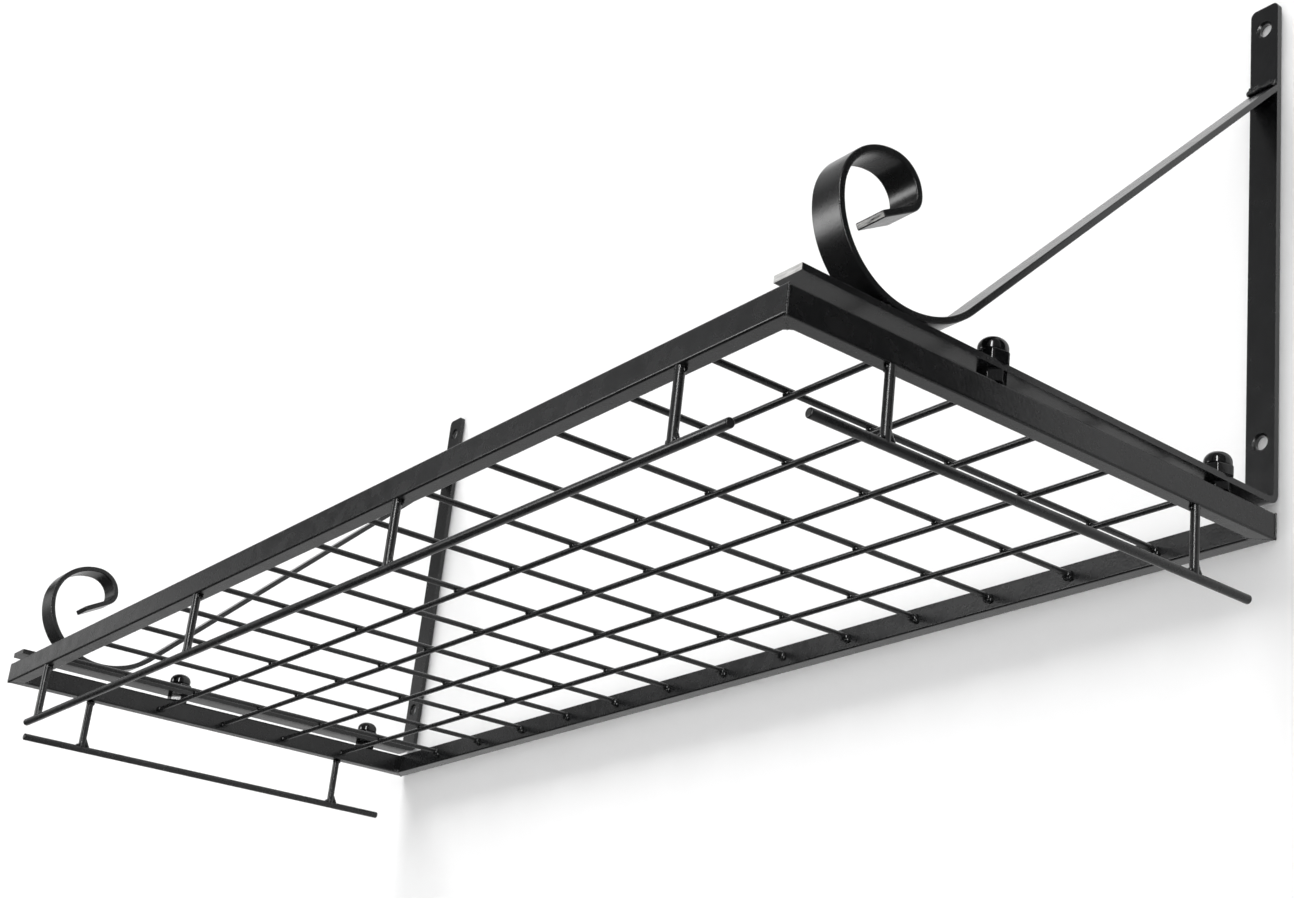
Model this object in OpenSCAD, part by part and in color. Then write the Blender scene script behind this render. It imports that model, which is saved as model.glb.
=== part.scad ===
// Wall-mounted shelf and pot rack: a welded wire shelf with hanging rails under
// three of its sides, carried by two flat-bar brackets with scrolled braces.
// X runs along the wall, -Y points into the room and Z is up.
// The back of the rack lies in the plane Y = 0, and the origin is the middle of
// the four wall holes.

/* [Frame] */

// Length of the frame along the wall
frame_len = 914; // [700:1:1200]
// Depth of the frame from the wall to its front face
frame_depth = 330; // [290:1:400]
// Height of the frame bars
bar_h = 15; // [13:0.5:20]
// Width of the frame bars
bar_w = 10; // [9:0.5:14]
// Rounding along the edges of the frame bars
bar_edge_r = 1.2; // [0.5:0.1:1.8]

/* [Wire grid] */

// Diameter of the grid wires
wire_d = 3.5; // [2.5:0.1:4.2]
// Wires that run from back to front, in the upper layer
cross_wires = 13; // [8:1:16]
// Wires that run along the wall, in the lower layer
long_wires = 5; // [3:1:8]
// Height of the lower wires' axis above the underside of the frame
wire_z = 5.4; // [4:0.1:6]

/* [Hanging rails] */

// Diameter of the rails and of their posts
rod_d = 5; // [4:0.1:7]
// Rounding at the ends of the rails
rod_end_r = 0.8; // [0.4:0.1:1.8]
// Drop from the underside of the frame to the front rail's axis
front_drop = 39; // [28:0.5:60]
// Drop from the underside of the frame to the side rails' axes
side_drop = 37.5; // [28:0.5:60]
// Distance from the ends of the frame to the ends of the front rail, before its shift
front_rail_inset = 44.5; // [36:0.5:56]
// How far the front rail lies to the right of the middle
front_rail_shift = 11; // [0:0.5:14]
// Posts on the front rail
front_posts = 4; // [2:1:5]
// Distance from the ends of the frame to the outer front posts
front_post_inset = 76; // [68:1:140]
// Distance from the corners of the frame to the ends of the side rails
side_rail_inset = 19; // [12:0.5:40]
// Posts on each side rail
side_posts = 2; // [2:1:3]
// Distance from the corners of the frame to the side posts
side_post_inset = 62; // [45:0.5:110]

/* [Wall brackets] */

// Width of the flat bar of the brackets and braces
flat_w = 19; // [16:0.5:24]
// Thickness of the flat bar
flat_t = 3.5; // [2.5:0.1:5]
// How far a bracket stands out past the end of the frame
arm_overhang = 1; // [0:0.1:4]
// Gap between the top of the frame and the arm, at the wall
arm_gap = 3.7; // [2.5:0.1:9]
// Upward slope of the right arm towards the room, in degrees
right_arm_slope = 0.7; // [0:0.1:1.5]
// Upward slope of the left arm towards the room, in degrees
left_arm_slope = 0.2; // [0:0.1:1.5]
// How far the right arm stops behind the front face of the frame
right_arm_setback = 6; // [0.5:0.5:20]
// How far the left arm stops behind the front face of the frame
left_arm_setback = 1; // [0.5:0.5:20]
// Height of the leg above the underside of the arm
leg_h = 308.4; // [290:0.1:360]
// Inner radius of the bend between leg and arm
bend_r = 3; // [2:0.1:8]
// Corner radius at the top of the leg
leg_corner_r = 3.5; // [1:0.1:7]

/* [Wall holes] */

// Diameter of the wall holes
hole_d = 8; // [5:0.1:9]
// Width of the countersink on the room side of the wall holes
sink_d = 10.5; // [9.5:0.1:12.5]
// Distance from the top of the leg to the upper hole
hole_drop = 14.5; // [10:0.1:25]
// Distance between the holes of one leg
hole_pitch = 256; // [200:0.5:260]

/* [Scrolled braces] */

// Distance along the right arm from the wall to where its brace touches it
right_touch_x = 262.6; // [256:0.1:272]
// Distance along the left arm from the wall to where its brace touches it
left_touch_x = 271.6; // [256:0.1:276]
// Slope of the straight part of the right brace, measured from its arm, in degrees
right_brace_slope = 46.5; // [42:0.1:48]
// Slope of the straight part of the left brace, measured from its arm, in degrees
left_brace_slope = 45.1; // [42:0.1:48]
// Radius of the bend from the straight brace onto the arm
foot_r = 52.8; // [40:0.1:65]
// Radius of the scroll's rising front quarter
curl_front_r = 44; // [40:0.1:50]
// Radius of the scroll's upper front quarter
curl_top_r = 29; // [26:0.1:34]
// Radius of the scroll's upper back quarter
curl_back_r = 15.7; // [14:0.1:20]
// Radius of the tight bend at the end of the scroll
curl_end_r = 7.8; // [6:0.1:10]
// Downward slope of the scroll's tail, measured from the arm, in degrees
tail_slope = 31.6; // [20:0.1:50]
// Length of the scroll's straight tail
tail_len = 19; // [8:0.5:26]

/* [Fasteners] */

// Diameter of the studs that stand on the frame
stud_d = 8; // [6:0.1:8.5]
// Distance from the end of the frame to the studs' axes
stud_inset = 6; // [5:0.1:7]
// Distance from the wall to the rear studs
rear_stud_y = 41; // [25:0.5:90]
// Distance from the wall to the front studs
front_stud_y = 204; // [120:0.5:225]
// Width across the flats of the spacer nuts under the arms
spacer_flats = 13; // [11.5:0.1:15]
// Width across the flats of the cap nuts
cap_flats = 16; // [15:0.1:18]
// Height of the cap nuts' six-sided part
cap_hex_h = 6; // [4:0.1:8]
// How far the cap nuts' dome stands inside the flats
dome_inset = 0.4; // [0.3:0.1:1.5]
// Height of the straight round neck between the six-sided part and the dome
neck_h = 2.6; // [1:0.1:3.5]
// Height of the dome above its neck
dome_h = 5.7; // [4:0.1:7]

/* [Clearances] */

// Gap between round pieces that are welded or screwed together
seat_gap = 0.05; // [0.02:0.01:0.2]
// Gap around each stud in its hole in the arm
stud_play = 0.3; // [0.1:0.05:0.6]

/* [Hidden] */

$fn = 64;
eps = 0.01;
bend_step = 3;

left = -1;
right = 1;

inner_len = frame_len - 2 * bar_w;
inner_depth = frame_depth - 2 * bar_w;
cross_z = wire_z + wire_d + seat_gap;

rod_r = rod_d / 2;
front_rail_len = frame_len - 2 * front_rail_inset;
side_rail_len = frame_depth - 2 * side_rail_inset;
front_post_span = frame_len - 2 * front_post_inset;
side_post_span = frame_depth - 2 * side_post_inset;
front_rail_y = -frame_depth + rod_r;
side_rail_x = frame_len / 2 - rod_r;

arm_z = bar_h + arm_gap;
leg_top_z = arm_z + leg_h;
bracket_x = frame_len / 2 + arm_overhang - flat_w / 2;
bend_out_r = bend_r + flat_t;

upper_hole_z = leg_top_z - hole_drop;
datum_z = upper_hole_z - hole_pitch / 2;

stud_x = frame_len / 2 - stud_inset;
stud_ys = [-rear_stud_y, -front_stud_y];
dome_r = cap_flats / 2 - dome_inset;
cap_h = cap_hex_h + neck_h + dome_h;
thread_in_cap = cap_hex_h + neck_h;

front_post_names = [for (i = [1:front_posts]) str("front_post_", i)];
left_post_names = [for (i = [1:side_posts]) str("left_post_", i)];
right_post_names = [for (i = [1:side_posts]) str("right_post_", i)];
long_wire_names = [for (i = [1:long_wires]) str("long_wire_", i)];
cross_wire_names = [for (i = [1:cross_wires]) str("cross_wire_", i)];

// Sizes in which the two brackets differ.
function arm_slope(side) = side < 0 ? left_arm_slope : right_arm_slope;
function arm_reach(side) = frame_depth - (side < 0 ? left_arm_setback : right_arm_setback);
function touch_x(side) = side < 0 ? left_touch_x : right_touch_x;
function brace_slope(side) = side < 0 ? left_brace_slope : right_brace_slope;

// Height at which the leg's bend starts, and the length of the arm beyond it.
function bend_z(side) = arm_z + bend_out_r * (1 + sin(arm_slope(side))) / cos(arm_slope(side));
function arm_flat_len(side) =
    (arm_reach(side) - bend_out_r - bend_out_r * sin(arm_slope(side))) / cos(arm_slope(side));

// Height of an arm's underside and top face at distance y from the wall.
function under_arm(side, y) = arm_z + y * tan(arm_slope(side));
function on_arm(side, y) = under_arm(side, y) + flat_t / cos(arm_slope(side));

// Steps from the frame's own origin (underside, middle of the back) to the datum.
module placed() {
    translate([0, 0, -datum_z])
        children();
}

// Draws in a plane across the wall at x: local X into the room, local Y up.
module side_view(x) {
    placed()
        translate([x, 0, 0])
            rotate([90, 0, -90])
                children();
}

// Local X along the underside of the arm from the wall, local Y square to it.
module along_arm(side) {
    translate([0, arm_z, 0])
        rotate([0, 0, arm_slope(side)])
            children();
}

module rounded_section(w, h, r) {
    translate([r, 0])
        square([w - 2 * r, h]);
    translate([0, r])
        square([w, h - 2 * r]);
    for (x = [r, w - r])
        for (y = [r, h - r])
            translate([x, y])
                circle(r);
}

// One side of the frame, its outer face on Y = 0, mitred at both ends.
module mitred_bar(length) {
    difference() {
        translate([-length / 2, 0, 0])
            rotate([90, 0, 90])
                linear_extrude(length)
                    rounded_section(bar_w, bar_h, bar_edge_r);
        for (s = [left, right])
            translate([s * length / 2, 0, -1])
                rotate([0, 0, s * 45])
                    translate([s > 0 ? 0 : -2 * bar_w, -bar_w, 0])
                        cube([2 * bar_w, 4 * bar_w, bar_h + 2]);
    }
}

module front_bar() {
    color("#26272a")
        placed()
            translate([0, -frame_depth, 0])
                mitred_bar(frame_len);
}

module back_bar() {
    color("#26272a")
        placed()
            rotate([0, 0, 180])
                mitred_bar(frame_len);
}

module end_bar(side) {
    color("#26272a")
        placed()
            translate([side * frame_len / 2, -frame_depth / 2, 0])
                rotate([0, 0, side * 90])
                    mitred_bar(frame_depth);
}

module long_wire(i) {
    y = -frame_depth + bar_w + i * inner_depth / (long_wires + 1);
    color("#1f2022")
        placed()
            translate([-inner_len / 2, y, wire_z])
                rotate([0, 90, 0])
                    cylinder(h = inner_len, d = wire_d);
}

module cross_wire(i) {
    x = -inner_len / 2 + i * inner_len / (cross_wires + 1);
    color("#1f2022")
        placed()
            translate([x, -bar_w, cross_z])
                rotate([90, 0, 0])
                    cylinder(h = inner_depth, d = wire_d);
}

// A round rod along X with softened ends, its middle at the origin.
module rail_rod(length) {
    rotate([0, 90, 0])
        rotate_extrude() {
            translate([0, -length / 2])
                square([rod_r - rod_end_r, length]);
            translate([0, -length / 2 + rod_end_r])
                square([rod_r, length - 2 * rod_end_r]);
            for (s = [left, right])
                translate([rod_r - rod_end_r, s * (length / 2 - rod_end_r)])
                    intersection() {
                        circle(rod_end_r);
                        translate([0, -rod_end_r])
                            square([rod_end_r, 2 * rod_end_r]);
                    }
        }
}

// A post under the frame, its foot coped to the rail that lies along X.
module coped_post(drop) {
    difference() {
        translate([0, 0, -drop])
            cylinder(h = drop, d = rod_d);
        translate([-rod_d, 0, -drop])
            rotate([0, 90, 0])
                cylinder(h = 2 * rod_d, r = rod_r + seat_gap);
    }
}

module front_rail() {
    color("#232427")
        placed()
            translate([front_rail_shift, front_rail_y, -front_drop])
                rail_rod(front_rail_len);
}

module side_rail(side) {
    color("#232427")
        placed()
            translate([side * side_rail_x, -frame_depth / 2, -side_drop])
                rotate([0, 0, 90])
                    rail_rod(side_rail_len);
}

module front_post(i) {
    x = -front_post_span / 2 + (i - 1) * front_post_span / (front_posts - 1);
    color("#232427")
        placed()
            translate([x, front_rail_y, 0])
                coped_post(front_drop);
}

module side_post(side, i) {
    y = -side_post_span / 2 + (i - 1) * side_post_span / (side_posts - 1);
    color("#232427")
        placed()
            translate([side * side_rail_x, -frame_depth / 2 + y, 0])
                rotate([0, 0, 90])
                    coped_post(side_drop);
}

// The middle line of a bent flat bar as [point, heading] pairs. Each move is
// [length, 0] for a straight run or [radius, turn] for a bend to the left.
function bend_points(p, h, r, turn) = [
    for (k = [1:ceil(turn / bend_step)])
        let (a = h + turn * k / ceil(turn / bend_step))
            [p + r * [sin(a) - sin(h), cos(h) - cos(a)], a]
];

function bar_line(moves, p, h, i = 0) =
    i == len(moves) ? [[p, h]] :
    let (
        run = moves[i][1] == 0
            ? [[p + moves[i][0] * [cos(h), sin(h)], h]]
            : bend_points(p, h, moves[i][0], moves[i][1]),
        last = run[len(run) - 1]
    )
    concat([[p, h]], [for (k = [0:1:len(run) - 2]) run[k]], bar_line(moves, last[0], last[1], i + 1));

function beside(q, d) = q[0] + d * [-sin(q[1]), cos(q[1])];

// Flat bar on its edge that follows a list of moves from p, heading h.
module bent_bar(moves, p, h) {
    line = bar_line(moves, p, h);
    upper = [for (q = line) beside(q, flat_t / 2)];
    lower = [for (i = [len(line) - 1:-1:0]) beside(line[i], -flat_t / 2)];
    translate([0, 0, -flat_w / 2])
        linear_extrude(flat_w)
            polygon(concat(upper, lower));
}

// Takes the sharp corners off the end of a flat bar that points along +X.
module end_corners(r) {
    for (s = [left, right])
        translate([0, 0, s * flat_w / 2])
            difference() {
                translate([-r, -flat_t, -r])
                    cube([r + 1, 3 * flat_t, 2 * r]);
                translate([-r, 2.5 * flat_t, -s * r])
                    rotate([90, 0, 0])
                        cylinder(h = 4 * flat_t, r = r);
            }
}

module wall_hole(z) {
    translate([-1, z, 0])
        rotate([0, 90, 0])
            cylinder(h = flat_t + 2, d = hole_d);
    translate([flat_t - (sink_d - hole_d) / 2, z, 0])
        rotate([0, 90, 0])
            cylinder(h = (sink_d - hole_d) / 2 + eps, d1 = hole_d, d2 = sink_d + 2 * eps);
}

module bracket(side) {
    color("#2a2b2e")
        difference() {
            side_view(side * bracket_x)
                difference() {
                    bent_bar(
                        [
                            [leg_top_z - bend_z(side), 0],
                            [bend_r + flat_t / 2, 90 + arm_slope(side)],
                            [arm_flat_len(side), 0]
                        ],
                        [flat_t / 2, leg_top_z], -90
                    );
                    translate([0, leg_top_z, 0])
                        rotate([0, 0, 90])
                            end_corners(leg_corner_r);
                    wall_hole(upper_hole_z);
                    wall_hole(upper_hole_z - hole_pitch);
                }
            placed()
                for (y = stud_ys)
                    translate([side * stud_x, y, bar_h])
                        cylinder(h = arm_gap + cap_h, r = stud_d / 2 + stud_play);
        }
}

// The straight brace, its foot on the arm and the scroll, in one bent bar.
module brace(side) {
    slope = brace_slope(side);
    brace_len = touch_x(side) / cos(slope);
    foot = [touch_x(side), 1.5 * flat_t + seat_gap];
    top = foot + foot_r * [-sin(slope), 1 - cos(slope)] + brace_len * [-cos(slope), sin(slope)];
    moves = [
        [brace_len, 0],
        [foot_r, slope],
        [curl_front_r, 90],
        [curl_top_r, 90],
        [curl_back_r, 90],
        [curl_end_r, 90 - tail_slope],
        [tail_len, 0]
    ];
    color("#303134")
        side_view(side * bracket_x)
            difference() {
                along_arm(side)
                    bent_bar(moves, top, -slope);
                translate([flat_t - touch_x(side), 0, -flat_w])
                    cube([touch_x(side), 2 * leg_top_z, 2 * flat_w]);
            }
}

module studs() {
    color("#8d9096")
        placed()
            for (side = [left, right])
                for (y = stud_ys)
                    translate([side * stud_x, y, bar_h])
                        cylinder(h = on_arm(side, -y) + thread_in_cap - bar_h, d = stud_d);
}

// Six-sided nuts that fill the wedge between the frame and the arm.
module spacer_nuts() {
    color("#6d7076")
        placed()
            for (side = [left, right])
                for (y = stud_ys)
                    difference() {
                        translate([side * stud_x, y, bar_h])
                            difference() {
                                cylinder(h = under_arm(side, -y), d = spacer_flats / cos(30), $fn = 6);
                                translate([0, 0, -1])
                                    cylinder(h = arm_z * 2, r = stud_d / 2 + seat_gap);
                            }
                        translate([side * stud_x, 0, arm_z])
                            rotate([-arm_slope(side), 0, 0])
                                translate([-spacer_flats, -frame_depth, 0])
                                    cube([2 * spacer_flats, frame_depth, 3 * arm_z]);
                    }
}

module cap_nut() {
    intersection() {
        cylinder(h = cap_hex_h, d = cap_flats / cos(30), $fn = 6);
        cylinder(h = cap_hex_h, r1 = cap_flats / 2 + cap_hex_h, r2 = cap_flats / 2 - 0.2);
    }
    rotate_extrude() {
        translate([0, cap_hex_h / 2])
            square([dome_r, cap_hex_h / 2 + neck_h]);
        translate([0, cap_hex_h + neck_h])
            intersection() {
                scale([1, dome_h / dome_r])
                    circle(dome_r);
                square([dome_r, dome_h]);
            }
    }
}

module cap_nuts() {
    color("#1b1c1e")
        placed()
            for (side = [left, right])
                for (y = stud_ys)
                    difference() {
                        translate([side * stud_x, y, on_arm(side, -y)])
                            rotate([-arm_slope(side), 0, 0])
                                cap_nut();
                        translate([side * stud_x, y, bar_h])
                            cylinder(
                                h = on_arm(side, -y) + thread_in_cap + 0.5 - bar_h,
                                r = stud_d / 2 + seat_gap
                            );
                    }
}

front_bar();
back_bar();
end_bar(left);  // left_bar
end_bar(right);  // right_bar
for (i = [1:long_wires])
    long_wire(i);
for (i = [1:cross_wires])
    cross_wire(i);
front_rail();
side_rail(left);  // left_rail
side_rail(right);  // right_rail
for (i = [1:front_posts])
    front_post(i);
for (i = [1:side_posts])
    side_post(left, i);
for (i = [1:side_posts])
    side_post(right, i);
bracket(left);  // left_bracket
bracket(right);  // right_bracket
brace(left);  // left_brace
brace(right);  // right_brace
studs();
spacer_nuts();
cap_nuts();
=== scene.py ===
import bpy, bmesh
from math import radians, sin, cos, tan, pi
from mathutils import Matrix, Vector, noise


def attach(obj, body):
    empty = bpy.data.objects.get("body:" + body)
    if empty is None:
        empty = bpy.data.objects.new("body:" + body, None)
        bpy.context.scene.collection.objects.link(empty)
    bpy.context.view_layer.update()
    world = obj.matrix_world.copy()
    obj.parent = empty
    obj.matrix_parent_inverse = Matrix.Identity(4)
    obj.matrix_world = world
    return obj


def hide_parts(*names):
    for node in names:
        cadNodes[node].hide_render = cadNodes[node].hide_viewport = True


# Wall-mounted pot rack. Metres, +X along the wall, +Y into the wall, +Z up,
# with the middle of the four wall holes at the origin.

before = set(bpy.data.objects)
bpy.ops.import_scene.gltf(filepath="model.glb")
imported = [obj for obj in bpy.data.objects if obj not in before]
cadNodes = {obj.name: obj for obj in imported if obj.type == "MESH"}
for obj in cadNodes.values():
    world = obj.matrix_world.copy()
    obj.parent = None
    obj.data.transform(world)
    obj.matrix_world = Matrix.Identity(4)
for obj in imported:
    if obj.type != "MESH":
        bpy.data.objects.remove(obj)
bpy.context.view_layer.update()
mm = 0.001
underside = -184.6        # height of the frame's underside, in mm
white = (1, 1, 1, 1)
print("rack frame loaded:", len(cadNodes), "pieces")


def addNode(tree, kind, **inputs):
    made = tree.nodes.new("ShaderNode" + kind)
    for name, value in inputs.items():
        if name in made.inputs:
            made.inputs[name].default_value = value
        else:
            setattr(made, name, value)
    return made


def join(tree, source, target):
    tree.links.new(source, target)


def grain(tree, place, **settings):
    made = addNode(tree, "TexNoise", **settings)
    join(tree, place, made.inputs["Vector"])
    return made.outputs["Fac"]


def stretch(tree, source, to, span=(0.0, 1.0)):
    ends = {"From Min": span[0], "From Max": span[1], "To Min": to[0], "To Max": to[1]}
    made = addNode(tree, "MapRange", **ends)
    join(tree, source, made.inputs["Value"])
    return made.outputs["Result"]


def toneRamp(tree, source, stops):
    made = addNode(tree, "ValToRGB")
    for element, (position, tone) in zip(made.color_ramp.elements, stops):
        element.position = position
        element.color = (*tone, 1)
    join(tree, source, made.inputs["Fac"])
    return made.outputs["Color"]


def bumps(tree, source, shader, strength, depth):
    made = addNode(tree, "Bump", Strength=strength, Distance=depth * mm)
    join(tree, source, made.inputs["Height"])
    join(tree, made.outputs["Normal"], shader.inputs["Normal"])


def blend(tree, share, first, second):
    made = addNode(tree, "MixShader")
    for source, target in zip((share, first, second), made.inputs):
        join(tree, source, target)
    return made.outputs[0]


def newMaterial(name, empty=False):
    material = bpy.data.materials.new(name)
    material.use_nodes = True
    if empty:
        material.node_tree.nodes.clear()
    return material, material.node_tree


def roundEdges(bm, edges, size, segments):
    bmesh.ops.bevel(bm, geom=edges, offset=size * mm, offset_type="OFFSET", segments=segments,
                    profile=0.5, affect="EDGES", material=-1, clamp_overlap=True)


def pieceFrom(bm, name, materials, sharpAngle):
    bmesh.ops.recalc_face_normals(bm, faces=bm.faces)
    mesh = bpy.data.meshes.new(name)
    bm.to_mesh(mesh)
    bm.free()
    mesh.polygons.foreach_set("use_smooth", [True] * len(mesh.polygons))
    mesh.set_sharp_from_angle(angle=radians(sharpAngle))
    for material in materials:
        mesh.materials.append(material)
    piece = bpy.data.objects.new(name, mesh)
    bpy.context.scene.collection.objects.link(piece)
    return piece


def evenShading(piece):
    even = piece.modifiers.new("even shading", "WEIGHTED_NORMAL")
    even.keep_sharp = True
    even.weight = 80


# Base colour, roughness range, grain and depth of the orange peel in mm, and how far the arrises are rubbed
# lighter: wear on most paints, a painted highlight on the seam.
blackPaint = {
    "frame": dict(base=(0.0052, 0.0054, 0.0058), rough=(0.22, 0.31), peel=0.95, depth=0.060, wearAndGlint=0.16),
    "wire": dict(base=(0.0088, 0.0090, 0.0094), rough=(0.22, 0.31), peel=0.9, depth=0.035, wearAndGlint=0.04),
    "rail": dict(base=(0.0110, 0.0113, 0.0118), rough=(0.23, 0.32), peel=0.9, depth=0.035, wearAndGlint=0.10),
    "bracket": dict(base=(0.0054, 0.0056, 0.0060), rough=(0.20, 0.28), peel=0.95, depth=0.055, wearAndGlint=0.18),
    "brace": dict(base=(0.0052, 0.0054, 0.0058), rough=(0.24, 0.29), peel=0.8, depth=0.034, wearAndGlint=0.20),
    # the seam's paler base and fully rubbed arrises are a painted highlight, standing in for glints on the
    # corner beads
    "seam": dict(base=(0.0200, 0.0204, 0.0208), rough=(0.10, 0.20), peel=0.6, depth=0.080, wearAndGlint=1.0),
    "weld": dict(base=(0.0040, 0.0042, 0.0045), rough=(0.09, 0.16), peel=0.8, depth=0.040, wearAndGlint=0.0),
    "cap": dict(base=(0.0038, 0.0040, 0.0043), rough=(0.09, 0.15), peel=1.6, depth=0.030, wearAndGlint=0.10),
    "spacer": dict(base=(0.0045, 0.0046, 0.0050), rough=(0.10, 0.17), peel=0.7, depth=0.030, wearAndGlint=0.10),
}
# What they all share: the darkest and lightest of the coat's clouds, and the grey of a rubbed arris, which
# on the seam paint is a painted highlight.
coatClouds = (0.78, 1.3)
wearAndGlintGrey = (0.16, 0.16, 0.165, 1)


def powderCoat(name, base, rough, peel, depth, wearAndGlint):
    material, tree = newMaterial(name)
    shader = tree.nodes["Principled BSDF"]
    shader.inputs["IOR"].default_value = 1.5
    place = addNode(tree, "TexCoord").outputs["Object"]
    # cloudy colour, as where the coat is thicker
    clouds = grain(tree, place, Scale=38.0, Detail=4.0, Roughness=0.6)
    dark, light = ([c * share for c in base] for share in coatClouds)
    coat = toneRamp(tree, clouds, ((0.32, dark), (0.72, light)))
    # arrises, where a soft bevel would turn the surface, rubbed lighter in patches: wear, and on the seam
    # paint a painted highlight
    form = addNode(tree, "NewGeometry")
    soft = addNode(tree, "Bevel", Radius=0.9 * mm, samples=4)
    turn = addNode(tree, "VectorMath", operation="DOT_PRODUCT")
    join(tree, form.outputs["Normal"], turn.inputs[0])
    join(tree, soft.outputs["Normal"], turn.inputs[1])
    arris = stretch(tree, turn.outputs["Value"], (0.0, wearAndGlint), span=(0.97, 0.80))
    scuffsAndGlintSpeckles = grain(tree, place, Scale=160.0, Detail=5.0, Roughness=0.7)
    patchy = stretch(tree, scuffsAndGlintSpeckles, (0.0, 1.0), span=(0.42, 0.66))
    wornAndGlinting = addNode(tree, "Math", operation="MULTIPLY")
    join(tree, arris, wornAndGlinting.inputs[0])
    join(tree, patchy, wornAndGlinting.inputs[1])
    paint = addNode(tree, "Mix", data_type="RGBA")
    join(tree, wornAndGlinting.outputs["Value"], paint.inputs["Factor"])
    join(tree, coat, paint.inputs[6])                  # the Mix node's first colour
    paint.inputs[7].default_value = wearAndGlintGrey         # and its second
    join(tree, paint.outputs[2], shader.inputs["Base Color"])
    # gloss that wanders a little
    sheen = grain(tree, place, Scale=95.0, Detail=3.0, Roughness=0.55)
    join(tree, stretch(tree, sheen, rough, span=(0.3, 0.7)), shader.inputs["Roughness"])
    # orange peel, whose lumps are about half as wide as the noise's own cells
    orange = grain(tree, place, Scale=1000.0 / peel * 0.55, Detail=2.0, Roughness=0.45)
    bumps(tree, orange, shader, strength=1.0, depth=depth)
    return material


# Cut ends of bar, where the steel shows: as sawn, and with most of the paint chipped off, whose near-white
# flecks are partly a painted highlight standing in for glints along the tail's end.
cutEnd = {
    "bare": dict(dark=(0.34, 0.34, 0.335), light=(0.62, 0.61, 0.60), metal=0.35),
    "chippedAndGlinting": dict(dark=(0.02, 0.02, 0.02), light=(0.85, 0.84, 0.82), metal=0.2),
}


def cutSteel(name, dark, light, metal):
    material, tree = newMaterial(name)
    shader = tree.nodes["Principled BSDF"]
    shader.inputs["Metallic"].default_value = metal
    place = addNode(tree, "TexCoord")
    squeeze = addNode(tree, "Mapping", Scale=(150.0, 300.0, 900.0))
    join(tree, place.outputs["Object"], squeeze.inputs["Vector"])
    streaks = grain(tree, squeeze.outputs["Vector"], Scale=1.0, Detail=3.0, Roughness=0.6)
    join(tree, toneRamp(tree, streaks, ((0.30, dark), (0.66, light))), shader.inputs["Base Color"])
    join(tree, stretch(tree, streaks, (0.32, 0.6)), shader.inputs["Roughness"])
    bumps(tree, streaks, shader, strength=0.8, depth=0.10)
    return material


paints = {use: powderCoat(use + "Black", **look) for use, look in blackPaint.items()}
steels = {use: cutSteel(use + "CutEnd", **look) for use, look in cutEnd.items()}
print("finishes mixed:", len(paints) + len(steels))

# The paint of a plain node, by the first of these words in its name. The bars
# of the frame have none of them.
paintByWord = dict(wire="wire", rail="rail", post="rail", studs="spacer", spacer="spacer",
                   cap="cap", bracket="bracket", brace="brace")
for name, node in cadNodes.items():
    use = next((paint for word, paint in paintByWord.items() if word in name), "frame")
    node.data.materials.clear()
    node.data.materials.append(paints[use])


# Place and clip in metres, angles in radians; focal length, optical centre
# and the picture's width and height in pixels; the sensor in mm.
camera = dict(
    place=(1.0551101, -0.7788985, -0.3786197 + underside * mm),
    heading=-0.85958, rise=0.3243, roll=0.0737, clip=(0.05, 40),
    focal=1994.5694, centre=(884.05, 613.21), picture=(1294, 898), sensor=36,
)


def addCamera(place, heading, rise, roll, clip, focal, centre, picture, sensor):
    ahead = Vector((sin(heading) * cos(rise), cos(heading) * cos(rise), sin(rise)))
    level = ahead.cross(Vector((0, 0, 1))).normalized()
    upright = level.cross(ahead)
    across = level * cos(roll) + upright * sin(roll)
    up = upright * cos(roll) - level * sin(roll)
    wide, high = picture
    data = bpy.data.cameras.new("rackCamera")
    data.sensor_width = sensor
    data.lens = focal * sensor / wide
    data.shift_x = (wide / 2 - centre[0]) / wide
    data.shift_y = (centre[1] - high / 2) / wide
    data.clip_start, data.clip_end = clip
    camObject = bpy.data.objects.new("rackCamera", data)
    turned = Matrix((across, up, -ahead)).transposed().to_4x4()
    camObject.matrix_world = Matrix.Translation(place) @ turned
    bpy.context.scene.collection.objects.link(camObject)
    bpy.context.scene.camera = camObject


addCamera(**camera)

# The scrolled braces are flat bar, led down from the leg, round the foot and
# up the scroll, whose curls are quarter turns but for the last, short of one
# by the tail's slope. Lengths in mm, angles in degrees.
brace = dict(
    centreX=448.5, width=19.0, thick=3.5, edge=0.65, endEdge=0.6, footR=52.8, gap=0.05,
    curls=(44.0, 29.0, 15.7, 7.8), tailSlope=31.6, tail=19.0, stepAngle=2.0,
    armHeight=18.7, legFace=3.5, legMeet=267.5,
)
# The two sides are bent a little differently, and only the right tail's end is chipped, its pale flecks
# partly a painted highlight.
sides = {
    "left": dict(side=-1, slope=45.1, touch=271.6, armSlope=0.2, chippedAndGlinting=False),
    "right": dict(side=1, slope=46.5, touch=262.6, armSlope=0.7, chippedAndGlinting=True),
}


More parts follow.
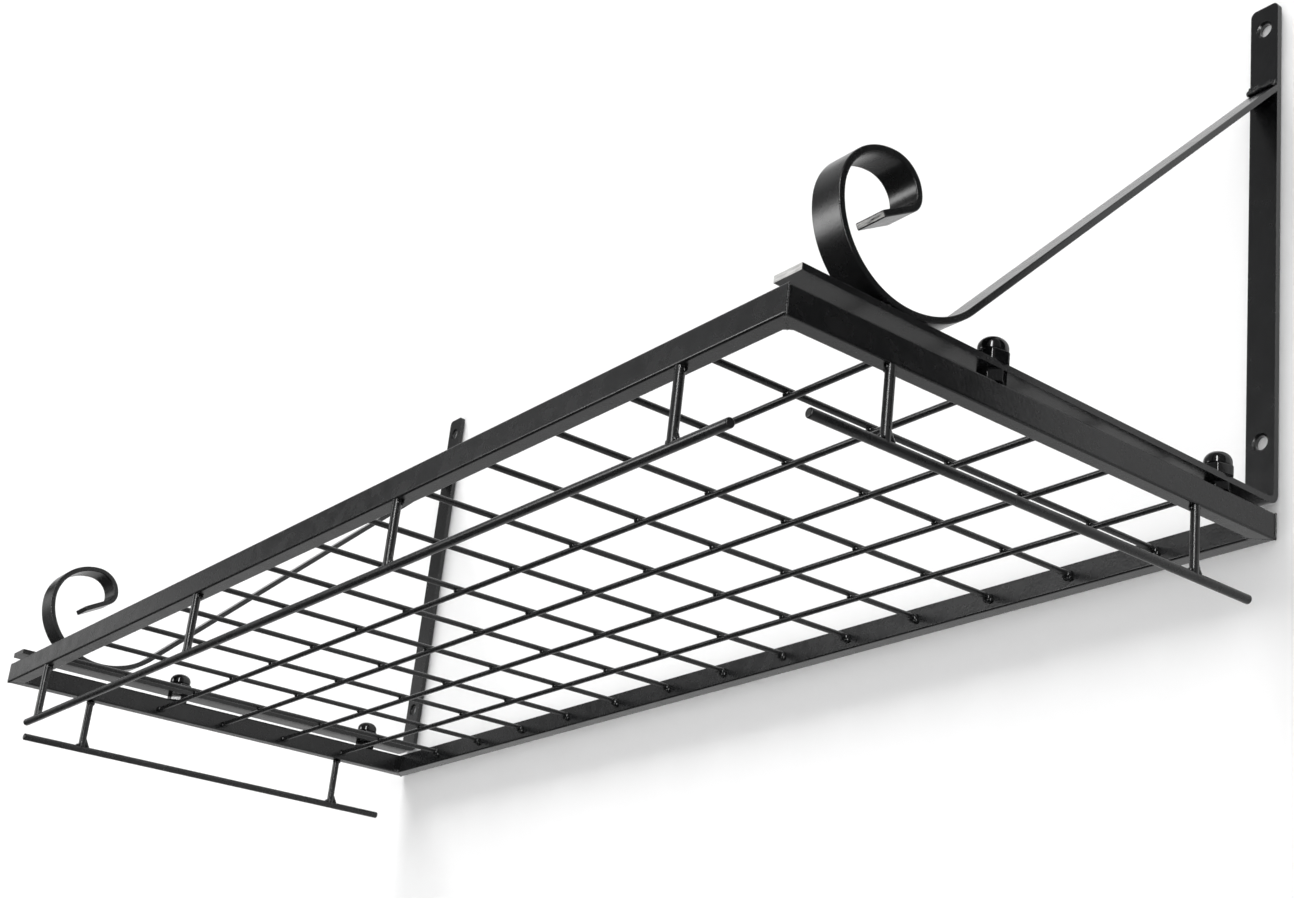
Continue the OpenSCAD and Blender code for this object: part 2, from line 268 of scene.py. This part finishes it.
def ledFlatBar(bm, start, heading, moves, width, thick, edge, stepAngle):
    section = bmesh.ops.create_grid(bm, x_segments=1, y_segments=1, size=0.5)["verts"]
    bmesh.ops.scale(bm, vec=(thick, width, 1), verts=section)
    bmesh.ops.rotate(bm, cent=(0, 0, 0), matrix=Matrix.Rotation(pi / 2, 3, "X"), verts=section)
    bmesh.ops.bevel(bm, geom=section, offset=edge, offset_type="OFFSET", segments=4, profile=0.5,
                    affect="VERTICES", material=-1, clamp_overlap=True)
    ring = list(bm.verts)
    faceAhead = Matrix.Rotation(heading + pi / 2, 3, "Z")
    bmesh.ops.rotate(bm, cent=(0, 0, 0), matrix=faceAhead, verts=ring)
    bmesh.ops.translate(bm, vec=(start[0], start[1], 0), verts=ring)
    rim = list(bm.edges)
    at = Vector((start[0], start[1], 0))
    for size, turn in moves:            # a length and 0, or a radius and a turn
        ahead = Vector((cos(heading), sin(heading), 0))
        if turn == 0:
            led = bmesh.ops.extrude_edge_only(bm, edges=rim)["geom"]
            moved = [v for v in led if isinstance(v, bmesh.types.BMVert)]
            bmesh.ops.translate(bm, vec=ahead * size, verts=moved)
            rim = [e for e in led if isinstance(e, bmesh.types.BMEdge)]
            rim = [e for e in rim if len(e.link_faces) == 1]
            at = at + ahead * size
        else:
            hub = at + Vector((-ahead.y, ahead.x, 0)) * size
            steps = max(2, round(turn / radians(stepAngle)))
            led = bmesh.ops.spin(bm, geom=rim, cent=hub, axis=(0, 0, 1), dvec=(0, 0, 0), angle=turn,
                                 steps=steps, use_merge=False, use_duplicate=False)["geom_last"]
            rim = [e for e in led if isinstance(e, bmesh.types.BMEdge)]
            at = hub + Matrix.Rotation(turn, 3, "Z") @ (at - hub)
            heading += turn
    return bmesh.ops.contextual_create(bm, geom=rim)["faces"]


# From the flat in which a brace is led, x out from the wall and y up, to its
# place on the arm.
def onArm(side, centreX, armSlope, armHeight):
    lean = radians(armSlope)
    return Matrix((
        (0, 0, 1, side * centreX * mm),
        (-cos(lean), sin(lean), 0, 0),
        (sin(lean), cos(lean), 0, (armHeight + underside) * mm),
        (0, 0, 0, 1),
    ))


def scrolledBrace(word, side, slope, touch, armSlope, chippedAndGlinting):
    b = brace
    slope = radians(slope)
    length = touch / cos(slope)
    foot = Vector((touch, 1.5 * b["thick"] + b["gap"]))     # the bar's middle line on the arm
    bend = b["footR"] * Vector((-sin(slope), 1 - cos(slope)))
    top = foot + bend + length * Vector((-cos(slope), sin(slope)))
    *curls, lastCurl = b["curls"]
    moves = [(length * mm, 0), (b["footR"] * mm, slope)]
    moves += [(radius * mm, pi / 2) for radius in curls]
    moves += [(lastCurl * mm, pi / 2 - radians(b["tailSlope"])), (b["tail"] * mm, 0)]
    bm = bmesh.new()
    tailEnd = ledFlatBar(bm, top * mm, -slope, moves, b["width"] * mm, b["thick"] * mm, b["edge"] * mm,
                         b["stepAngle"])
    roundEdges(bm, [e for face in tailEnd for e in face.edges], b["endEdge"], segments=3)
    # the tail's end gets chipped paint whose pale flecks are partly a painted highlight
    if chippedAndGlinting:           # the tail's end is the lower of the bar's two
        ends = [f for f in bm.faces if len(f.verts) > 8]
        min(ends, key=lambda f: f.calc_center_median().y).material_index = 1
    seat = onArm(side, b["centreX"], armSlope, b["armHeight"])
    bmesh.ops.transform(bm, matrix=seat, verts=bm.verts)
    # the top is cut off flat against the leg
    cut = bmesh.ops.bisect_plane(bm, geom=bm.verts[:] + bm.edges[:] + bm.faces[:], dist=1e-7,
                                 plane_co=(0, -b["legFace"] * mm, 0), plane_no=(0, 1, 0), clear_outer=True)
    cutRim = [e for e in cut["geom_cut"] if isinstance(e, bmesh.types.BMEdge)]
    bmesh.ops.contextual_create(bm, geom=cutRim)
    finishes = [paints["brace"], steels["chippedAndGlinting"]]
    piece = pieceFrom(bm, word + "_scrolled_brace", finishes, sharpAngle=50)
    evenShading(piece)
    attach(piece, "root")
    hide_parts(word + "_brace")


for word, bends in sides.items():
    scrolledBrace(word, **bends)
print("scrolled braces bent")

# The brackets and spacer nuts are the plain solids with their edges eased.
# Lengths in mm, angles in degrees.
easing = dict(ease=0.45, merge=0.002, flatAngle=0.4, crispAngle=38, sawnDepth=0.3)
eased = {
    "left_bracket": dict(paint="bracket", slot="bracket_paint", sawn=False),
    "right_bracket": dict(paint="bracket", slot="bracket_paint", sawn=True),
    "spacer_nuts": dict(paint="spacer", slot="spacer_paint", sawn=False),
}


def easedPiece(name, paint, slot, sawn):
    how = easing
    bm = bmesh.new()
    bm.from_mesh(cadNodes[name].data)
    bmesh.ops.remove_doubles(bm, verts=bm.verts, dist=how["merge"] * mm)
    bmesh.ops.dissolve_limit(bm, angle_limit=radians(how["flatAngle"]), verts=bm.verts, edges=bm.edges)
    solidEdges = [e for e in bm.edges if e.is_manifold]
    crisp = [e for e in solidEdges if e.calc_face_angle(0) > radians(how["crispAngle"])]
    roundEdges(bm, crisp, how["ease"], segments=3)
    if sawn:              # bare steel at the arm's end
        reach = min(v.co.y for v in bm.verts)
        for face in bm.faces:
            if face.calc_center_median().y < reach + how["sawnDepth"] * mm:
                face.material_index = 1
    piece = pieceFrom(bm, "eased_" + name, [paints[paint], steels["bare"]], sharpAngle=50)
    evenShading(piece)
    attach(piece, "root")
    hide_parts(name)


for name, look in eased.items():
    easedPiece(name, **look)
print("brackets and spacer nuts eased")

# Cap nuts in mm: a hexagon with eased corners, a groove round its top, as
# shares of the groove's depth at heights above the hexagon, and a full-bellied
# dome, squarer than an ellipse by its two powers.
capNut = dict(
    flats=16.0, hexHeight=6.0, corner=1.1, ease=1.0, footEase=0.35,
    groove=0.6, sink=0.4, grooveLine=((1.0, 0.15), (0.35, 0.45), (0.0, 0.95)),
    neck=2.6, dome=15.2, domeHeight=5.7, belly=(0.9, 0.95), steps=48,
)
# Where they sit, and how far each is turned in degrees: left back, left front,
# right back and right front.
studs = dict(x=451.0, y=(-41.0, -204.0), turns=(7, 23, 41, 46))


def capNutBmesh(bm, flats, hexHeight, corner, ease, footEase, groove, sink, grooveLine,
                neck, dome, domeHeight, belly, steps):
    reach = flats / 2 / cos(pi / 6) * mm
    prism = bmesh.ops.create_cone(bm, cap_ends=True, cap_tris=False, segments=6, radius1=reach,
                                  radius2=reach, depth=hexHeight * mm)["verts"]
    bmesh.ops.translate(bm, vec=(0, 0, hexHeight / 2 * mm), verts=prism)
    near = 0.01 * mm
    corners = [e for e in bm.edges if abs(e.verts[0].co.z - e.verts[1].co.z) > mm]
    roundEdges(bm, corners, corner, segments=3)
    rims = [e for e in bm.edges if min(v.co.z for v in e.verts) > hexHeight * mm - near]
    roundEdges(bm, rims, ease, segments=4)
    feet = [e for e in bm.edges if max(v.co.z for v in e.verts) < near]
    roundEdges(bm, feet, footEase, segments=2)
    r = dome / 2
    outline = [(r - groove - sink, hexHeight - sink)]
    outline += [(r - groove * share, hexHeight + rise) for share, rise in grooveLine]
    outline.append((r, hexHeight + neck))
    for a in [radians(d) for d in range(5, 90, 5)]:
        outline.append((r * cos(a) ** belly[0], hexHeight + neck + domeHeight * sin(a) ** belly[1]))
    outline.append((0, hexHeight + neck + domeHeight))
    line = [bm.verts.new((x * mm, 0, z * mm)) for x, z in outline]
    edges = [bm.edges.new(pair) for pair in zip(line, line[1:])]
    bmesh.ops.spin(bm, geom=line + edges, cent=(0, 0, 0), axis=(0, 0, 1), dvec=(0, 0, 0), angle=2 * pi,
                   steps=steps, use_merge=True, use_duplicate=False)
    bmesh.ops.remove_doubles(bm, verts=bm.verts, dist=0.001 * mm)


def addCapNuts():
    turns = iter(studs["turns"])
    bm = bmesh.new()
    for bends in sides.values():
        lean = radians(bends["armSlope"])
        armTop = brace["armHeight"] + brace["thick"] / cos(lean)
        for y in studs["y"]:
            one = bmesh.new()
            capNutBmesh(one, **capNut)
            seat = (armTop + abs(y) * tan(lean) + underside) * mm
            spun = Matrix.Rotation(radians(next(turns)), 3, "Z")
            tipped = Matrix.Rotation(-lean, 3, "X")
            bmesh.ops.rotate(one, cent=(0, 0, 0), matrix=spun, verts=one.verts)
            bmesh.ops.rotate(one, cent=(0, 0, 0), matrix=tipped, verts=one.verts)
            bmesh.ops.translate(one, vec=(bends["side"] * studs["x"] * mm, y * mm, seat), verts=one.verts)
            part = bpy.data.meshes.new("oneCap")
            one.to_mesh(part)
            one.free()
            bm.from_mesh(part)
            bpy.data.meshes.remove(part)
    piece = pieceFrom(bm, "domed_cap_nuts", [paints["cap"]], sharpAngle=42)
    evenShading(piece)
    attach(piece, "root")
    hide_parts("cap_nuts")


addCapNuts()
print("cap nuts turned")

# The frame and the grid in it, where the welds lie, all in mm.
grid = dict(
    frameLen=914.0, frameDepth=330.0, barW=10.0, barH=15.0,
    crossings=13, wires=5, wireZ=5.4, crossZ=8.95,
)
# A weld is made of lumps, balls drawn to their half sizes and pushed about by
# their wobble. A lump's seed picks its own stretch of the noise.
lump = dict(detail=2, grain=1.7, apart=(3.1, 1.7, 1.0))


def blob(bm, place, seed, size, wobble):
    made = bmesh.ops.create_icosphere(bm, subdivisions=lump["detail"], radius=1.0)["verts"]
    stretchOfNoise = Vector([seed * step for step in lump["apart"]])
    for v in made:
        v.co *= 1 + wobble * noise.noise(v.co * lump["grain"] + stretchOfNoise)
    x, y, z = place
    bmesh.ops.scale(bm, vec=[s * mm for s in size], verts=made)
    bmesh.ops.translate(bm, vec=(x * mm, y * mm, (z + underside) * mm), verts=made)


def finishWelds(bm, name, paint="weld"):
    piece = pieceFrom(bm, name, [paints[paint]], sharpAngle=180)
    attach(piece, "root")


def wireColumns():
    inner = grid["frameLen"] - 2 * grid["barW"]
    count = grid["crossings"]
    return [-inner / 2 + i * inner / (count + 1) for i in range(1, count + 1)]


def wireRows():
    inner = grid["frameDepth"] - 2 * grid["barW"]
    front = -grid["frameDepth"] + grid["barW"]
    count = grid["wires"]
    return [front + i * inner / (count + 1) for i in range(1, count + 1)]


# Lumps where wires cross and where they end on a bar of the frame.
gridWeld = dict(
    crossing=dict(size=(2.6, 2.6, 1.5), wobble=0.2),
    ends=(
        dict(bar="back", off=(0.0, -0.6, -1.1), seed=0, size=(3.8, 2.9, 2.9), wobble=0.22),
        dict(bar="back", off=(1.6, -0.3, -2.9), seed=40, size=(2.7, 2.1, 2.1), wobble=0.22),
        dict(bar="front", off=(0.0, 0.3, -0.6), seed=80, size=(3.0, 2.2, 2.2), wobble=0.25),
    ),
    side=dict(inset=0.3, drop=0.3, size=(2.3, 3.2, 2.3), wobble=0.25),
)


def addGridWelds():
    g = grid
    middle = (g["wireZ"] + g["crossZ"]) / 2
    bm = bmesh.new()
    for i, x in enumerate(wireColumns()):
        for j, y in enumerate(wireRows()):
            blob(bm, (x, y, middle), i * 7 + j, **gridWeld["crossing"])
    finishWelds(bm, "grid_crossing_welds")
    barY = dict(front=-g["frameDepth"] + g["barW"], back=-g["barW"])
    bm = bmesh.new()
    for i, x in enumerate(wireColumns()):
        for end in gridWeld["ends"]:
            dx, dy, dz = end["off"]
            place = (x + dx, barY[end["bar"]] + dy, g["crossZ"] + dz)
            blob(bm, place, i + end["seed"], end["size"], end["wobble"])
    last = gridWeld["side"]
    reach = g["frameLen"] / 2 - g["barW"] - last["inset"]
    for j, y in enumerate(wireRows()):
        for side in (-1, 1):
            place = (side * reach, y, g["wireZ"] - last["drop"])
            blob(bm, place, j * 2 + side, last["size"], last["wobble"])
    finishWelds(bm, "grid_end_welds")


# The posts, with the heights of their rails, and their welds: a lumpy collar
# at the bar, and at the rail a fin on one side and a low bead on the other.
posts = dict(
    frontX=(-381.0, -127.0, 127.0, 381.0), frontY=-327.5, frontRail=-39.0,
    sideX=454.5, sideY=(-268.0, -62.0), sideRail=-37.5,
)
postWeld = dict(
    lumps=5,
    collar=dict(inward=0.7, ring=1.5, clear=1.75, drop=0.9, dip=0.5, size=(1.65, 1.65, 1.7), wobble=0.3),
    fin=dict(out=1.6, step=0.62, tall=8.2, fall=1.45, foot=1.6, half=1.25, along=0.5, seed=60, wobble=0.10),
    bead=dict(out=1.9, tall=1.6, foot=2.6, half=2.0, along=0.6, seed=62, wobble=0.2),
)


def postSpots():
    p = posts
    front = [(x, p["frontY"], p["frontRail"], 1, 0) for x in p["frontX"]]
    ends = [(side * p["sideX"], y, p["sideRail"], 0, 1) for side in (-1, 1) for y in p["sideY"]]
    return front + ends


def addPostWelds():
    count, collar, fin, bead = (postWeld[part] for part in ("lumps", "collar", "fin", "bead"))
    outerX = grid["frameLen"] / 2 - collar["clear"]
    outerY = -grid["frameDepth"] + collar["clear"]
    bm = bmesh.new()
    for n, (x, y, rail, ax, ay) in enumerate(postSpots()):
        inX, inY = (0, 1) if ax else (-1 if x > 0 else 1, 0)
        for k in range(count):          # kept inside the bar's outer face
            turn = k * 2 * pi / count + n
            cx = x + inX * collar["inward"] + collar["ring"] * cos(turn)
            cy = y + inY * collar["inward"] + collar["ring"] * sin(turn)
            if ax:
                cy = max(cy, outerY)
            else:
                cx = max(-outerX, min(outerX, cx))
            place = (cx, cy, -collar["drop"] - collar["dip"] * (k % 2))
            blob(bm, place, n * count + k, collar["size"], collar["wobble"])
        for k in range(count):
            out = fin["out"] + k * fin["step"]
            up = fin["tall"] - k * fin["fall"]
            place = (x + ax * out, y + ay * out, rail + fin["foot"] + up / 2)
            size = (fin["half"] + ax * fin["along"], fin["half"] + ay * fin["along"], up / 2)
            blob(bm, place, n * count + k + fin["seed"], size, fin["wobble"])
        place = (x - ax * bead["out"], y - ay * bead["out"], rail + bead["foot"])
        size = (bead["half"] + ax * bead["along"], bead["half"] + ay * bead["along"], bead["tall"])
        blob(bm, place, n + bead["seed"], size, bead["wobble"])
    finishWelds(bm, "post_welds")


# At each corner of the frame: a seam up the outer arris, a bead along the
# mitre underneath, and lumps inside along both bars.
cornerWeld = dict(
    seam=dict(count=9, end=0.9, inset=0.80, sway=0.05, swing=2.3, size=(0.66, 0.66, 1.15), wobble=0.25),
    mitre=dict(count=11, start=1.6, step=0.84, rise=0.12, size=(0.85, 0.85, 0.34), wobble=0.3),
    inner=3, wobble=0.3,
    onFront=dict(start=0.2, aside=0.4, step=1.3, zig=0.5, low=0.9, climb=0.4, size=(1.5, 1.1, 1.0)),
    onSide=dict(start=0.3, aside=0.4, step=1.2, low=1.2, climb=0.3, size=(1.0, 1.3, 1.1)),
)


def addCornerWelds():
    seam, mitre, onFront, onSide = (cornerWeld[part] for part in ("seam", "mitre", "onFront", "onSide"))
    length, depth, barW, barH = (grid[size] for size in ("frameLen", "frameDepth", "barW", "barH"))
    x = length / 2
    bm = bmesh.new()
    for n, (sx, fy) in enumerate(((-1, -depth), (1, -depth), (-1, 0), (1, 0))):
        inY = 1 if fy < 0 else -1
        for k in range(seam["count"]):
            z = seam["end"] + k * (barH - 2 * seam["end"]) / (seam["count"] - 1)
            sway = seam["sway"] * sin(k * seam["swing"] + n)
            place = (sx * (x + sway), fy + inY * seam["inset"], z)
            blob(bm, place, n * 20 + k, seam["size"], seam["wobble"])
        for k in range(mitre["count"]):
            run = mitre["start"] + k * mitre["step"]
            place = (sx * (x - run), fy + inY * run, mitre["rise"])
            blob(bm, place, n * 20 + k + seam["count"], mitre["size"], mitre["wobble"])
        for k in range(cornerWeld["inner"]):
            along = x - (barW + onFront["start"]) - k * onFront["step"]
            aside = barW + onFront["aside"] + (k % 2) * onFront["zig"]
            place = (sx * along, fy + inY * aside, onFront["low"] + onFront["climb"] * k)
            blob(bm, place, n * 7 + k, onFront["size"], cornerWeld["wobble"])
            along = barW + onSide["start"] + k * onSide["step"]
            aside = x - (barW + onSide["aside"])
            place = (sx * aside, fy + inY * along, onSide["low"] + onSide["climb"] * k)
            blob(bm, place, n * 9 + k, onSide["size"], cornerWeld["wobble"])
    # the seam paint's pale rubbed arrises are a painted highlight on these beads
    finishWelds(bm, "corner_welds", "seam")


# Across each brace, where its top meets the leg: a crown that swells and
# shrinks, a skirt below it and a thin bead under the bar. A row of low lumps
# lies before and behind the foot, on the arm.
braceWeld = dict(
    lumps=9, swell=0.55, swellNoise=(1.37, 4.1, 2.6), topInset=1.4, footInset=1.6,
    crown=dict(out=1.0, up=1.2, size=(1.5, 1.5, 2.1), wobble=0.35),
    skirt=dict(out=3.1, down=1.7, up=0.5, size=(1.3, 1.9, 1.2), wobble=0.35),
    under=dict(out=0.5, down=0.5, size=(1.4, 0.8, 1.1), wobble=0.25),
    foot=dict(ahead=(-11.5, 11.5), up=0.45, size=(1.4, 1.5, 0.75), wobble=0.25),
)


def acrossBrace(side, inset):
    b = brace
    count = braceWeld["lumps"]
    start = side * b["centreX"] - b["width"] / 2 + inset
    return [start + k * (b["width"] - 2 * inset) / (count - 1) for k in range(count)]


def addTopWelds(bm, side, slope, armSlope):
    b = brace
    crown, skirt, under = (braceWeld[part] for part in ("crown", "skirt", "under"))
    topZ = b["legMeet"] + b["thick"] / cos(radians(slope - armSlope))
    step, noiseY, noiseZ = braceWeld["swellNoise"]
    for k, x in enumerate(acrossBrace(side, braceWeld["topInset"])):
        swell = 1.0 + braceWeld["swell"] * noise.noise(Vector((k * step + side, noiseY, noiseZ)))
        wide, deep, tall = crown["size"]
        place = (x, -b["legFace"] - crown["out"] * swell, topZ + crown["up"] * swell)
        blob(bm, place, k + side, (wide, deep * swell, tall * swell), crown["wobble"])
        wide, deep, tall = skirt["size"]
        place = (x, -b["legFace"] - skirt["out"], topZ - skirt["down"] + skirt["up"] * swell)
        blob(bm, place, k + side * 7, (wide, deep, tall * swell), skirt["wobble"])
        place = (x, -b["legFace"] - under["out"], b["legMeet"] - under["down"])
        blob(bm, place, k + side * 3, under["size"], under["wobble"])


def addFootWelds(bm, side, touch, armSlope):
    foot = braceWeld["foot"]
    armTop = brace["armHeight"] + brace["thick"]
    for k, x in enumerate(acrossBrace(side, braceWeld["footInset"])):
        for ahead in foot["ahead"]:
            out = touch + ahead
            z = armTop + out * tan(radians(armSlope)) + foot["up"]
            blob(bm, (x, -out, z), k + side * 5 + ahead, foot["size"], foot["wobble"])


def addBraceWelds():
    bm = bmesh.new()
    for bends in sides.values():
        addTopWelds(bm, bends["side"], bends["slope"], bends["armSlope"])
        addFootWelds(bm, bends["side"], bends["touch"], bends["armSlope"])
    finishWelds(bm, "brace_welds")


addGridWelds()
addPostWelds()
addCornerWelds()
addBraceWelds()
print("welds laid")

# A white wall and a pale floor, partly self-lit for the eye. Glossy paint
# mirrors a tone of their own, graded between two heights in metres. They are
# open from behind, so that they never hide the rack.
room = dict(floor=-1.15, wall=0.0012, half=7.0)
surfaces = {
    "paleWall": dict(tone=0.88, bounce=0.88, selfLit=0.12, mirrored=(0.56, 1.08)),
    "paleFloor": dict(tone=0.38, bounce=0.26, selfLit=0.42, mirrored=(0.06, 0.06)),
}
mirrorHeights = (-0.32, 0.06)


def paleSurface(name, tone, bounce, selfLit, mirrored):
    material, tree = newMaterial(name, empty=True)
    ray = addNode(tree, "LightPath")
    toEye = ray.outputs["Is Camera Ray"]
    # the floor is paler to the eye than to what it lights
    matt = addNode(tree, "BsdfDiffuse", Roughness=0.4)
    join(tree, stretch(tree, toEye, (bounce, tone)), matt.inputs["Color"])
    glow = addNode(tree, "Emission", Color=white, Strength=1.0)
    lit = blend(tree, stretch(tree, toEye, (0.0, selfLit)), matt.outputs[0], glow.outputs[0])
    # what glossy paint mirrors
    place = addNode(tree, "TexCoord")
    height = addNode(tree, "SeparateXYZ")
    join(tree, place.outputs["Object"], height.inputs[0])
    image = addNode(tree, "Emission", Color=white)
    level = stretch(tree, height.outputs["Z"], mirrored, span=mirrorHeights)
    join(tree, level, image.inputs["Strength"])
    front = blend(tree, ray.outputs["Is Glossy Ray"], lit, image.outputs[0])
    form = addNode(tree, "NewGeometry")
    clear = addNode(tree, "BsdfTransparent")
    out = addNode(tree, "OutputMaterial")
    join(tree, blend(tree, form.outputs["Backfacing"], front, clear.outputs[0]), out.inputs["Surface"])
    return material


def roomPlane(name, matrix, material):
    bm = bmesh.new()
    bmesh.ops.create_grid(bm, x_segments=1, y_segments=1, size=1.0, matrix=matrix)
    mesh = bpy.data.meshes.new(name)
    bm.to_mesh(mesh)
    bm.free()
    mesh.materials.append(material)
    plane = bpy.data.objects.new(name, mesh)
    bpy.context.scene.collection.objects.link(plane)
    return plane


wide = Matrix.Scale(room["half"], 4)
upright = Matrix.Rotation(pi / 2, 4, "X")
floorMiddle = Matrix.Translation((0, room["wall"] - room["half"], room["floor"]))
wallMiddle = Matrix.Translation((0, room["wall"], room["floor"] + room["half"]))
roomPlane("paleFloor", floorMiddle @ wide, paleSurface("paleFloor", **surfaces["paleFloor"]))
roomPlane("paleWall", wallMiddle @ wide @ upright, paleSurface("paleWall", **surfaces["paleWall"]))

# Cards that only reflections see: a dark one on the wall well to the right of
# the rack, light ones out to the left and above, some fading to their rims,
# and a tall one in front to the right, which draws the bright lines on posts,
# nuts and arrises. Place and half sizes in metres, turn in radians.
cards = dict(
    darkCard=dict(place=(1.61, -0.004, 0.0), size=(0.96, 1.6), turn=0.0, glow=0.02, fades=False),
    lowCard=dict(place=(-1.35, -2.15, 0.16), size=(0.75, 0.62), turn=-0.70, glow=10.5, fades=True),
    midCard=dict(place=(-2.00, -2.00, 1.40), size=(1.30, 0.45), turn=-0.80, glow=0.30, fades=False),
    leftCard=dict(place=(-3.2, -1.1, 0.55), size=(0.80, 0.60), turn=-1.25, glow=1.05, fades=True),
    highCard=dict(place=(-2.2, -0.9, 2.5), size=(1.0, 0.9), turn=-1.2, glow=0.6, fades=False),
    tallCard=dict(place=(1.9, -2.3, 0.6), size=(0.20, 1.7), turn=0.62, glow=24.0, fades=False),
)


def addCard(name, place, size, turn, glow, fades):
    material, tree = newMaterial(name, empty=True)
    light = addNode(tree, "Emission", Color=white, Strength=glow)
    out = addNode(tree, "OutputMaterial")
    join(tree, light.outputs[0], out.inputs["Surface"])
    if fades:             # the card's middle at the gradient's, its rim at its end
        spread = addNode(tree, "TexCoord")
        centred = addNode(tree, "Mapping", Location=(-1, 0, -1), Scale=(2, 0, 2))
        join(tree, spread.outputs["Generated"], centred.inputs["Vector"])
        fade = addNode(tree, "TexGradient", gradient_type="SPHERICAL")
        join(tree, centred.outputs["Vector"], fade.inputs["Vector"])
        join(tree, stretch(tree, fade.outputs["Fac"], (0.0, glow)), light.inputs["Strength"])
    shape = Matrix.Diagonal((size[0], 1.0, size[1], 1.0))
    stand = Matrix.Translation(place) @ Matrix.Rotation(turn, 4, "Z")
    card = roomPlane(name, stand @ shape @ upright, material)
    card.visible_camera = False
    card.visible_diffuse = False
    card.visible_shadow = False
    card.visible_transmission = False


for name, look in cards.items():
    addCard(name, **look)

# A wide soft light, steep down the wall from the upper left, made of several
# soft suns side by side. It draws the long shade beneath the back bar, and
# reflections don't see it. The leans are along the wall, the rise off it, and
# the spread is in degrees.
skim = dict(leans=(-0.56, -0.40, -0.24, -0.08), rise=0.205, spread=13.5, power=2.5)


def addSkim(leans, rise, spread, power):
    for n, lean in enumerate(leans):
        data = bpy.data.lights.new("skimLight" + str(n), "SUN")
        data.angle = radians(spread)
        data.energy = power
        lamp = bpy.data.objects.new("skimLight" + str(n), data)
        towards = Vector((lean, -rise, (1 - lean ** 2 - rise ** 2) ** 0.5))
        lamp.matrix_world = towards.to_track_quat("Z", "Y").to_matrix().to_4x4()
        lamp.visible_glossy = False
        bpy.context.scene.collection.objects.link(lamp)


addSkim(**skim)

# The surround: white to the eye, softer on matt surfaces, dim in reflections.
surround = dict(eye=1.0, matt=0.80, mirrored=0.23)


def addSurround(**levels):
    sky = bpy.data.worlds.new("paleSurround")
    bpy.context.scene.world = sky
    sky.use_nodes = True
    tree = sky.node_tree
    tree.nodes.clear()
    ray = addNode(tree, "LightPath")
    shown = {}
    for use, level in levels.items():
        shown[use] = addNode(tree, "Background", Color=white, Strength=level).outputs[0]
    toRack = blend(tree, ray.outputs["Is Glossy Ray"], shown["matt"], shown["mirrored"])
    toAll = blend(tree, ray.outputs["Is Camera Ray"], toRack, shown["eye"])
    out = addNode(tree, "OutputWorld")
    join(tree, toAll, out.inputs["Surface"])


addSurround(**surround)
bpy.context.scene.view_settings.view_transform = "Standard"
print("room lit")
